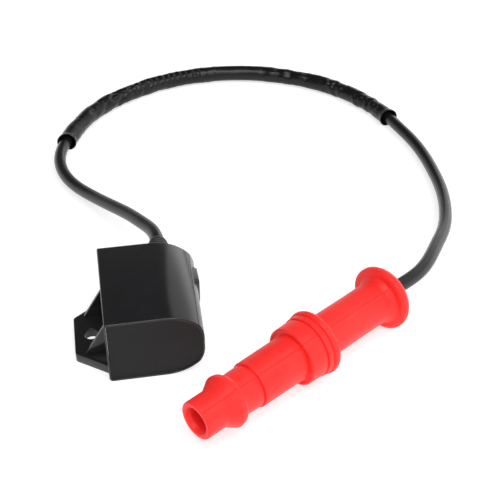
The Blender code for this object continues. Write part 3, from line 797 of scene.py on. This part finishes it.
def upper_side(height, side_x, inset):
    """The rounded side's upper half, from the end of the flat top down to its upright stretch."""
    shoulder_centre = Vector((SHOULDER_START_X, height - SHOULDER_RADIUS))
    across = side_x - CREASE_DEPTH - SHOULDER_START_X
    crease = shoulder_centre + Vector((across, math.sqrt(SHOULDER_RADIUS**2 - across**2)))
    side_radius = (CREASE_DROP**2 + CREASE_DEPTH**2) / (2 * CREASE_DEPTH)
    side_centre = Vector((side_x - side_radius, crease.y - CREASE_DROP))
    shoulder_normal = (crease - shoulder_centre).normalized()
    side_normal = (crease - side_centre).normalized()
    crease -= (shoulder_normal + side_normal) * inset / (1 + shoulder_normal.dot(side_normal))
    shoulder_end = angle_from(shoulder_centre, crease)
    side_start = angle_from(side_centre, crease)
    groove = 0.0 if inset > WALL / 2 else GROOVE_HALF_DEG
    shoulder = arc(shoulder_centre, SHOULDER_RADIUS - inset, 90.0, shoulder_end + groove, SHOULDER_SEGMENTS)
    side = arc(side_centre, side_radius - inset, side_start - groove, 0.0, SIDE_SEGMENTS)
    if not groove:
        return shoulder[:-1] + [tuple(crease)] + side[1:]
    bottom = crease - (shoulder_normal + side_normal).normalized() * CREASE_GROOVE
    return shoulder + [tuple(bottom)] + side


def d_outline(y, inset):
    """The D section in X and Z, from its rounded bottom corner round to its top corner."""
    height = between_ends(y, OPEN_END_HEIGHT, CLOSED_END_HEIGHT)
    side_x = between_ends(y, OPEN_END_SIDE_X, CLOSED_END_SIDE_X)
    flat = FLAT_SIDE_X + inset
    top = height - inset
    corner = max(CORNER_RADIUS - inset, 0.4 * MM)
    low_corner = arc((flat + corner, inset + corner), corner, 180.0, 270.0, CORNER_SEGMENTS)
    upper = upper_side(height, side_x, inset)
    lower = [(x, height - z) for x, z in upper]
    high_corner = arc((flat + corner / 2, top - corner / 2), corner / 2, 90.0, 180.0, CORNER_SEGMENTS)
    return low_corner + lower + upper[::-1] + high_corner


def lofted(name, sections, sharp_angle=30.0):
    """A solid through D-shaped rings of (y, inset)."""
    rings = [[Vector((x, y, z)) for x, z in d_outline(y, inset)] for y, inset in sections]
    return mesh_object(name, skin(rings), sharp_angle)


def rounding(y, inset, y_radius, inset_radius, steps=4):
    """Sections round a quarter circle from (y + y_radius, inset) to (y, inset + inset_radius)."""
    sections = []
    for i in range(steps + 1):
        turn = math.pi / 2 * i / steps
        across = y_radius * (1 - math.sin(turn))
        sections.append((y + across, inset + inset_radius * (1 - math.cos(turn))))
    return sections


def make_shell():
    """The bucket itself: from its floor out along the inside, over the rim and back along the outside."""
    return lofted(
        "coil_housing",
        rounding(CLOSED_END_Y - END_WALL, WALL, -0.8 * MM, 0.8 * MM)[::-1]
        + [(OPEN_END_Y + RIM_TAPER, WALL)]
        + rounding(OPEN_END_Y, RIM_WALL, 0.25 * MM, -0.25 * MM)
        + rounding(OPEN_END_Y, 0.0, 0.45 * MM, 0.45 * MM)[::-1]
        + rounding(CLOSED_END_Y, 0.0, -0.7 * MM, 0.7 * MM),
    )


EAR_TIP_X = -30.9 * MM
EAR_CENTRE_Y = -5.65 * MM
EAR_TIP_HALF = 13.4 * MM
EAR_ROOT_HALF = 24.2 * MM
EAR_THICKNESS = 5.0 * MM
EAR_CORNER_RADIUS = 2.2 * MM
EAR_EDGE_RADIUS = 0.45 * MM
ROOT_X = FLAT_SIDE_X + WALL / 2
BOLT_HOLE_X = -22.8 * MM
BOLT_HOLE_RADIUS = 3.75 * MM
BOLT_HOLE_FOOT_RADIUS = 3.45 * MM
GUSSET_OFFSET = 13.1 * MM
GUSSET_THICKNESS = 1.6 * MM
GUSSET_FOOT_X = -26.4 * MM
GUSSET_TOP_Z = 20.7 * MM


def ear_outline():
    """The ear in X and Y, its root buried in the flat side's wall."""
    tip = []
    radius = EAR_CORNER_RADIUS
    for side in (-1.0, 1.0):
        centre = (EAR_TIP_X + radius, EAR_CENTRE_Y + side * (EAR_TIP_HALF - radius * 0.8))
        points = arc(centre, radius, 180.0 + side * -55.0, 180.0, 8)
        tip.extend(points if side < 0 else reversed(points))
    return [(ROOT_X, EAR_CENTRE_Y - EAR_ROOT_HALF), *tip, (ROOT_X, EAR_CENTRE_Y + EAR_ROOT_HALF)]


def make_gusset(side):
    """A thin triangular web from the ear up the flat side."""
    middle = EAR_CENTRE_Y + side * GUSSET_OFFSET
    half = GUSSET_THICKNESS / 2
    low_z = EAR_THICKNESS - 0.6 * MM
    outline = filleted(
        [
            (ROOT_X, low_z, 0.0),
            (GUSSET_FOOT_X, low_z, 0.3 * MM),
            (FLAT_SIDE_X - 0.2 * MM, GUSSET_TOP_Z - 0.3 * MM, 0.6 * MM),
            (ROOT_X, GUSSET_TOP_Z - 0.1 * MM, 0.0),
        ],
        4,
    )
    return rounded_prism(
        "gusset", outline, lambda p, y: Vector((p.x, y, p.y)), middle - half, middle + half, 0.3 * MM
    )


SOCKET_MOUTH_X = 30.6 * MM
SOCKET_BACK_X = 19.0 * MM
SOCKET_BACK_WALL = 1.5 * MM
SOCKET_CENTRE = Vector((7.0 * MM, 17.2 * MM))
SOCKET_SIZE = Vector((11.4 * MM, 14.0 * MM))
SOCKET_WALL = 1.4 * MM
SOCKET_CORNER = 1.6 * MM
SOCKET_FLARE = 1.8 * MM
SOCKET_SLOPE = 3.6 * MM
SOCKET_LEAD_IN = 0.25 * MM
OUTLET_RADIUS = 5.6 * MM
HOLE_CHAMFER = 0.12 * MM


def socket_outline(grow):
    """The socket's rounded rectangle in Y and Z, grown outwards or, below zero, inwards."""
    half = SOCKET_SIZE / 2 + Vector((grow, grow))
    corner = max(SOCKET_CORNER + grow, 0.5 * MM)
    points = []
    for quadrant, (side_y, side_z) in enumerate(((1, 1), (-1, 1), (-1, -1), (1, -1))):
        centre = SOCKET_CENTRE + Vector((side_y * (half.x - corner), side_z * (half.y - corner)))
        points += arc(centre, corner, 90.0 * quadrant, 90.0 * (quadrant + 1), 6)
    return points


def socket_solid(name, sections):
    rings = [[Vector((x, y, z)) for y, z in socket_outline(grow)] for x, grow in sections]
    return mesh_object(name, skin(rings))


def make_ear():
    """The ear's flat plate."""
    return rounded_prism(
        "ear", ear_outline(), lambda p, z: Vector((p.x, p.y, z)), 0.0, EAR_THICKNESS, EAR_EDGE_RADIUS
    )


def socket_block():
    """The socket's outside, which slopes down to its mouth."""
    sections = [(SOCKET_BACK_X, SOCKET_FLARE), (SOCKET_MOUTH_X - SOCKET_SLOPE, SOCKET_FLARE)]
    sections += [(SOCKET_MOUTH_X - 0.2 * MM, -0.25 * MM), (SOCKET_MOUTH_X - 0.05 * MM, -0.35 * MM)]
    sections.append((SOCKET_MOUTH_X, -0.5 * MM))
    return socket_solid("socket_block", sections)


def socket_cavity():
    """The space for the connector, which widens a little at the mouth."""
    wide = SOCKET_LEAD_IN - SOCKET_WALL
    sections = [(SOCKET_BACK_X + SOCKET_BACK_WALL, -SOCKET_WALL), (SOCKET_MOUTH_X - 0.5 * MM, -SOCKET_WALL)]
    sections += [(SOCKET_MOUTH_X + 0.01 * MM, wide), (SOCKET_MOUTH_X + MM, wide)]
    return socket_solid("socket_cavity", sections)


def bolt_hole():
    """A hole that narrows towards the ear's underside, chamfered at both ends."""
    outline = [
        (0.0, -MM),
        (BOLT_HOLE_FOOT_RADIUS + HOLE_CHAMFER, -MM),
        (BOLT_HOLE_FOOT_RADIUS + HOLE_CHAMFER, 0.0),
        (BOLT_HOLE_FOOT_RADIUS, HOLE_CHAMFER),
        (BOLT_HOLE_RADIUS, EAR_THICKNESS - HOLE_CHAMFER),
        (BOLT_HOLE_RADIUS + HOLE_CHAMFER, EAR_THICKNESS),
        (BOLT_HOLE_RADIUS + HOLE_CHAMFER, EAR_THICKNESS + MM),
        (0.0, EAR_THICKNESS + MM),
    ]
    return turned("bolt_hole", outline, 64, Matrix.Translation((BOLT_HOLE_X, EAR_CENTRE_Y, 0.0)))


def make_housing():
    """The D-shaped bucket with its ear, gussets, terminal socket, bolt hole and lead outlet."""
    housing = make_shell()
    boolean(housing, make_ear(), "UNION")
    for side in (-1, 1):
        boolean(housing, make_gusset(side), "UNION")
    boolean(housing, socket_block(), "UNION")
    boolean(housing, socket_cavity(), "DIFFERENCE")
    boolean(housing, bolt_hole(), "DIFFERENCE")
    outlet = cylinder("outlet", OUTLET_RADIUS, -5 * MM, 5 * MM, 64, Matrix.Translation(OUTLET) @ ALONG_Y)
    boolean(housing, outlet, "DIFFERENCE")
    smooth_again(housing, 28)
    return finish_piece(housing, "housing_plastic", "coil", "housing")


# Resin

RESIN_DEPTH = 0.75 * MM
POCKET_GAP = 0.5 * MM
SOCKET_GAP = 0.3 * MM
LEAD_POCKET_RADIUS = 6.7 * MM
BEHIND_BACK_Y = 30.0 * MM


def winding_pocket():
    """The space that the bobbins and the core fill."""
    bobbin_low, bobbin_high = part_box("secondary_bobbin")
    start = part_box("core_lamination_01")[0].y - POCKET_GAP
    radius = (bobbin_high.z - bobbin_low.z) / 2 + POCKET_GAP
    middle = (bobbin_low + bobbin_high) / 2
    place = Matrix.Translation((middle.x, 0.0, middle.z)) @ ALONG_Y
    return cylinder("pocket", radius, start, BEHIND_BACK_Y, 64, place)


def make_resin():
    """The potting fill: a level face that creeps up the housing's wall, with pockets for what it holds."""
    face = OPEN_END_Y + RESIN_DEPTH
    edge = RIM_WALL + 0.12 * MM
    sections = [(face + 0.02 * MM, edge + 4.0 * MM), (face, edge + 1.3 * MM)]
    sections += [(face - 0.06 * MM, edge + 0.6 * MM), (face - 0.16 * MM, edge + 0.25 * MM)]
    sections.append((face - 0.30 * MM, edge))
    sections.append((OPEN_END_Y + RIM_TAPER, WALL + 0.04 * MM))
    sections.append((CLOSED_END_Y - END_WALL - 0.3 * MM, WALL + 0.02 * MM))
    resin = lofted("resin_fill", sections, 40.0)
    boolean(resin, winding_pocket(), "DIFFERENCE")
    around_socket = [(10.0 * MM, SOCKET_GAP), (40.0 * MM, SOCKET_GAP)]
    boolean(resin, socket_solid("socket_pocket", around_socket), "DIFFERENCE")
    place = Matrix.Translation((OUTLET.x, 0.0, OUTLET.z)) @ ALONG_Y
    lead_pocket = cylinder("lead_pocket", LEAD_POCKET_RADIUS, -3 * MM, BEHIND_BACK_Y, 48, place)
    boolean(resin, lead_pocket, "DIFFERENCE")
    channel = plain_box("channel", (8 * MM, -30 * MM, 13 * MM), (19 * MM, 2 * MM, 21 * MM))
    boolean(resin, channel, "DIFFERENCE")
    smooth_again(resin, 40)
    return finish_piece(resin, "epoxy", "coil", "potting_resin")


# Gland and terminals


def make_gland():
    """The rubber strain relief: a collar against the housing, then ribs that taper along the lead."""
    wall_in = (CLOSED_END_Y - END_WALL) / MM
    wall_out = CLOSED_END_Y / MM
    tip = GLAND_TIP_Y / MM
    bore = 3.55
    neck = 5.55
    outline = [
        (bore, wall_in - 2.2, 0.2),
        (6.4, wall_in - 2.2, 0.3),
        (6.4, wall_in - 0.02, 0.1),
        (neck, wall_in - 0.02, 0.0),
        (neck, wall_out + 0.02, 0.0),
        (6.6, wall_out + 0.02, 0.2),
        (6.6, wall_out + 2.0, 0.7),
    ]
    pitch = 2.2
    for rib in range(4):
        low = wall_out + 2.4 + rib * pitch
        crest = 6.15 - 0.38 * rib
        outline.append((crest - 0.55, low, 0.25))
        outline.append((crest, low + 0.45, 0.45))
        outline.append((crest - 0.05, low + 1.5, 0.45))
        outline.append((crest - 0.6, low + 1.95, 0.25))
    outline += [(4.5, tip - 1.6, 0.3), (4.15, tip, 0.5), (bore, tip, 0.1)]
    outline = [tuple(value * MM for value in point) for point in outline]
    place = Matrix.Translation((OUTLET.x, 0.0, OUTLET.z)) @ ALONG_Y
    gland = turned("lead_strain_relief", filleted(outline, 4), 72, place, 40.0)
    return finish_piece(gland, "gland_rubber", "coil", "lead_gland")


TAB_LEAD_IN = 0.9 * MM
TAB_HOLE_RADIUS = 0.9 * MM
TAB_HOLE_FROM_TIP = 3.4 * MM


def make_blade(name, node):
    """A push-on tab with a chamfered tip and the small hole that a receptacle's latch drops into."""
    low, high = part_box(node)
    lead_in = TAB_LEAD_IN
    outline = filleted(
        [
            (low.x, low.z, 0.0),
            (high.x - lead_in * 1.3, low.z, 0.3 * MM),
            (high.x, low.z + lead_in, 0.3 * MM),
            (high.x, high.z - lead_in, 0.3 * MM),
            (high.x - lead_in * 1.3, high.z, 0.3 * MM),
            (low.x, high.z, 0.0),
        ],
        3,
    )
    blade = rounded_prism(name, outline, lambda p, y: Vector((p.x, y, p.y)), low.y, high.y, 0.12 * MM)
    middle = Vector((high.x - TAB_HOLE_FROM_TIP, (low.y + high.y) / 2, (low.z + high.z) / 2))
    reach = high.y - low.y
    hole = cylinder("tab_hole", TAB_HOLE_RADIUS, -reach, reach, 32, Matrix.Translation(middle) @ ALONG_Y)
    boolean(blade, hole, "DIFFERENCE")
    smooth_again(blade, 30)
    return finish_piece(blade, "tinned_brass", "coil", node)


# CAD nodes that keep their shape


def finish_cad_nodes():
    """Every CAD node that still shows gets the procedural material of its slot."""
    for subpart in frame["record"]["subparts"]:
        if subpart["node"] in REPLACED:
            continue
        obj = NODES[subpart["node"]]
        for slot in obj.material_slots:
            slot.material = MATERIALS[subpart["material_slot"]]


# Stage and light


def make_floor():
    nodes = Nodes("floor_look")
    slow = nodes.noise(9.0, 3.0)
    pale = nodes.ramp(slow, [(0.3, (0.49, 0.49, 0.49)), (0.7, (0.52, 0.52, 0.52))])
    nodes.join(pale, nodes.shader.inputs["Base Color"])
    nodes.set(Roughness=0.9, Specular_IOR_Level=0.1)
    nodes.set(Emission_Color=(1.0, 1.0, 1.0, 1.0), Emission_Strength=0.66)
    bm = bmesh.new()
    bmesh.ops.create_grid(bm, x_segments=1, y_segments=1, size=3.0)
    floor = mesh_object("floor", bm)
    floor.data.materials.append(nodes.material)


def area_light(name, place, aim, size, power, shows_in_gloss=True):
    light = bpy.data.lights.new(name, "AREA")
    light.shape = "RECTANGLE"
    light.size, light.size_y = size
    light.energy = power
    obj = link(bpy.data.objects.new(name, light))
    obj.location = place
    obj.rotation_euler = (Vector(aim) - Vector(place)).to_track_quat("-Z", "Y").to_euler()
    obj.visible_camera = False
    obj.visible_glossy = shows_in_gloss


def make_world():
    """A pale sweep at the horizon that falls off to a dim ceiling, as in a studio tent."""
    world = bpy.data.worlds.new("studio")
    world.use_nodes = True
    tree = world.node_tree
    background = tree.nodes["Background"]
    place = tree.nodes.new("ShaderNodeTexCoord")
    split = tree.nodes.new("ShaderNodeSeparateXYZ")
    tree.links.new(place.outputs["Generated"], split.inputs["Vector"])
    ramp = tree.nodes.new("ShaderNodeValToRGB")
    stops = [(0.0, 1.0), (0.14, 0.9), (0.36, 0.12), (1.0, 0.10)]
    elements = ramp.color_ramp.elements
    while len(elements) < len(stops):
        elements.new(0.5)
    for element, (at, level) in zip(elements, stops):
        element.position = at
        element.color = (level, level, level, 1.0)
    tree.links.new(split.outputs["Z"], ramp.inputs["Fac"])
    tree.links.new(ramp.outputs["Color"], background.inputs["Color"])
    background.inputs["Strength"].default_value = 1.0
    bpy.context.scene.world = world


def make_lights():
    """Softboxes above and in front, and a tall plain panel beyond the coil's rounded side."""
    area_light("overhead", (0.10, -0.42, 1.06), (0.08, 0.03, 0.0), (1.2, 0.7), 11.5)
    area_light("front", (0.12, -1.05, 0.72), (0.05, 0.0, 0.0), (0.9, 0.35), 1.6)
    area_light("front_fill", (0.80, -1.10, 0.55), (0.06, 0.0, 0.0), (1.6, 0.8), 3.4, shows_in_gloss=False)
    area_light("side_panel", (0.782, 0.332, 0.60), (0.0, 0.0, 0.60), (1.7, 1.2), 5.2)


REPLACED = {
    "ignition_lead",
    "lead_sleeve",
    "plug_boot",
    "housing",
    "potting_resin",
    "lead_gland",
    "ground_terminal",
    "primary_terminal",
}


def main():
    make_camera()
    lead = make_lead()
    sleeve = make_sleeve()
    boot = make_boot()
    make_housing()
    make_resin()
    make_gland()
    make_blade("ground_tab", "ground_terminal")
    make_blade("primary_tab", "primary_terminal")
    finish_cad_nodes()
    make_floor()
    make_world()
    make_lights()
    bpy.context.scene.view_settings.view_transform = "Standard"


main()
